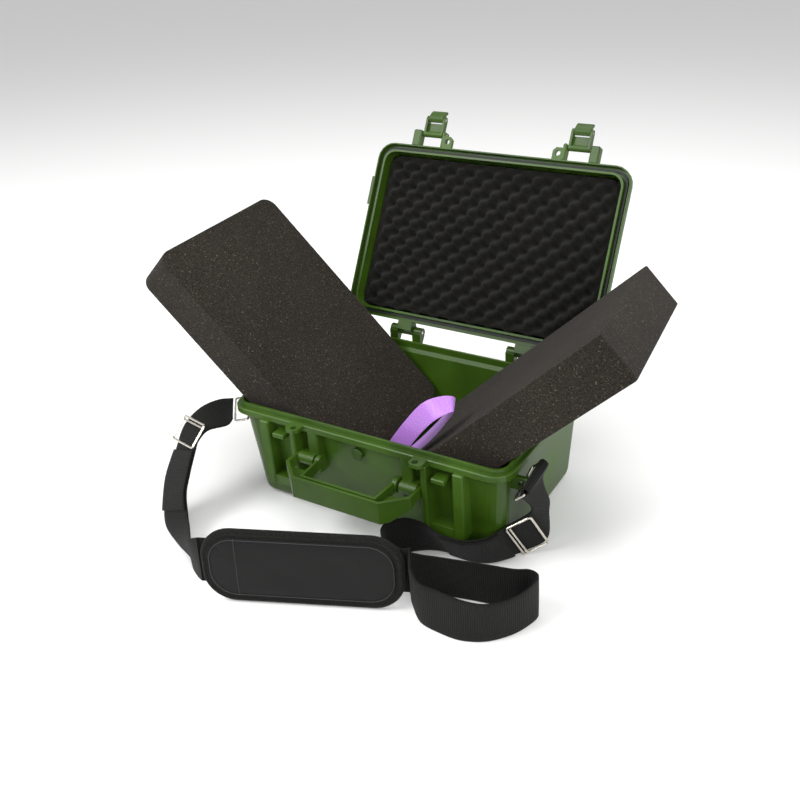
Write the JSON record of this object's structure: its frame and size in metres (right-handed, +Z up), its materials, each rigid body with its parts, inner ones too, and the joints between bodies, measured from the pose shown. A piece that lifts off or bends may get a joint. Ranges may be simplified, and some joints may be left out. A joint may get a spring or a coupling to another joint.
{
  "type": "telescope carry case",
  "caption": "Moulded carry case standing open, with a hinged lid, draw latches, a folding handle, loose foam slabs in the base and a padded shoulder strap.",
  "frame": {"origin": "centre of the round boss under the base, on the plane the case stands on", "axes": "+X to the right along the long side seen from the front, -Y to the front with the handle and latches, +Z up"},
  "size_m": [0.58, 0.5468, 0.3893],
  "materials": {
    "case_green_plastic": "satin moulded, fine texture",
    "valve_green_plastic": "satin moulded",
    "charcoal_foam": "open-cell foam",
    "black_gasket_rubber": "matt",
    "bright_steel": "bright drawn wire",
    "black_webbing": "ribbed woven webbing",
    "purple_ribbon": "satin ribbon"
  },
  "bodies": {
    "base": {"base_shell": "case_green_plastic", "pressure_valve": "valve_green_plastic", "hinge_pin_left": "bright_steel", "hinge_pin_right": "bright_steel", "handle_pin_left": "bright_steel", "handle_pin_right": "bright_steel", "strap_ring_left": "bright_steel", "strap_ring_right": "bright_steel", "foam_pull_ribbon": "purple_ribbon", "strap_webbing": "black_webbing", "strap_tail_left": "black_webbing", "strap_tail_right": "black_webbing", "strap_buckle_left": "bright_steel", "strap_buckle_right": "bright_steel", "strap_buckle_bar_left": "bright_steel", "strap_buckle_bar_right": "bright_steel", "shoulder_pad": "black_webbing", "shoulder_pad_panel": "black_gasket_rubber"},
    "lid": {"lid_shell": "case_green_plastic", "lid_gasket": "black_gasket_rubber", "lid_foam": "charcoal_foam", "latch_pin_left": "bright_steel", "latch_pin_right": "bright_steel"},
    "latch_link_left_body": {"latch_link_left": "case_green_plastic", "latch_lever_pin_left": "bright_steel"},
    "latch_link_right_body": {"latch_link_right": "case_green_plastic", "latch_lever_pin_right": "bright_steel"},
    "latch_lever_left_body": {"latch_lever_left": "case_green_plastic"},
    "latch_lever_right_body": {"latch_lever_right": "case_green_plastic"},
    "handle_body": {"handle": "case_green_plastic"},
    "slab_left": {"foam_slab_left": "charcoal_foam"},
    "slab_right": {"foam_slab_right": "charcoal_foam"}
  },
  "joints": [
    {"name": "lid_hinge", "type": "hinge", "parent": "base", "child": "lid", "pos_m": [0, 0.1264, 0.133], "axis": [1, 0, 0], "range_deg": [0, 118.8], "deforming": ["foam_slab_left", "foam_slab_right", "foam_pull_ribbon"]},
    {"name": "latch_link_left_joint", "type": "hinge", "parent": "lid", "child": "latch_link_left_body", "pos_m": [-0.103, 0.247, 0.3627], "axis": [1, 0, 0], "range_deg": [0, 90]},
    {"name": "latch_link_right_joint", "type": "hinge", "parent": "lid", "child": "latch_link_right_body", "pos_m": [0.103, 0.247, 0.3627], "axis": [1, 0, 0], "range_deg": [0, 90]},
    {"name": "latch_lever_left_joint", "type": "hinge", "parent": "latch_link_left_body", "child": "latch_lever_left_body", "pos_m": [-0.103, 0.2566, 0.38025], "axis": [1, 0, 0], "range_deg": [-60, 0]},
    {"name": "latch_lever_right_joint", "type": "hinge", "parent": "latch_link_right_body", "child": "latch_lever_right_body", "pos_m": [0.103, 0.2566, 0.38025], "axis": [1, 0, 0], "range_deg": [-60, 0]},
    {"name": "handle_joint", "type": "hinge", "parent": "base", "child": "handle_body", "pos_m": [0, -0.119, 0.082], "axis": [1, 0, 0], "range_deg": [0, 75], "deforming": ["strap_webbing", "strap_tail_right"]},
    {"name": "foam_slab_left_joint", "type": "hinge", "parent": "base", "child": "slab_left", "pos_m": [0.00668, -0.02172, 0.30429], "axis": [-0.0202, -0.9966, -0.08], "range_deg": [0, 47.1]},
    {"name": "foam_slab_right_joint", "type": "hinge", "parent": "base", "child": "slab_right", "pos_m": [-0.07199, 0.02848, 0.2712], "axis": [0.0479, 0.9955, -0.082], "range_deg": [0, 43.2]}
  ],
  "couplings": [
    {"joint": "foam_slab_left_joint", "follows": "lid_hinge", "ratio": 0.39588},
    {"joint": "foam_slab_right_joint", "follows": "lid_hinge", "ratio": 0.36336}
  ]
}
